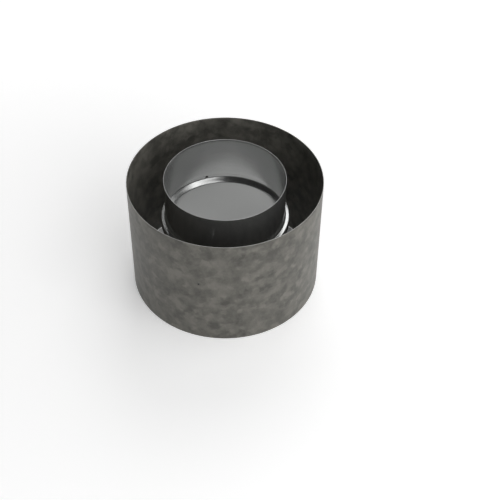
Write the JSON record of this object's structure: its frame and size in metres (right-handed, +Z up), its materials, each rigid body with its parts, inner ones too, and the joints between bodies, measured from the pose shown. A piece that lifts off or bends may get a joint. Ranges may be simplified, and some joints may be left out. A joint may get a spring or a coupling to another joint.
{
  "type": "co-axial vent termination adapter",
  "caption": "Short open sheet-metal sleeve round a smooth beaded flue pipe on the same axis, held by strip spacers, with screw holes near mid height.",
  "frame": {"origin": "on the common axis of the sleeve and the flue pipe, in the plane of the bottom rims that it stands on", "axes": "+Z up along the common axis, towards the end above the bead; -Y is the front, the side that the picture shows"},
  "size_m": [0.2032, 0.2032, 0.1344],
  "materials": {
    "galvanised_sheet": "dull spangled zinc",
    "aluminium_sheet": "smooth mill finish",
    "spacer_strip": "plain zinc"
  },
  "bodies": {
    "root": {"outer_sleeve": "galvanised_sheet", "flue_pipe": "aluminium_sheet", "spacer_1": "spacer_strip", "spacer_2": "spacer_strip", "spacer_3": "spacer_strip"}
  },
  "joints": []
}
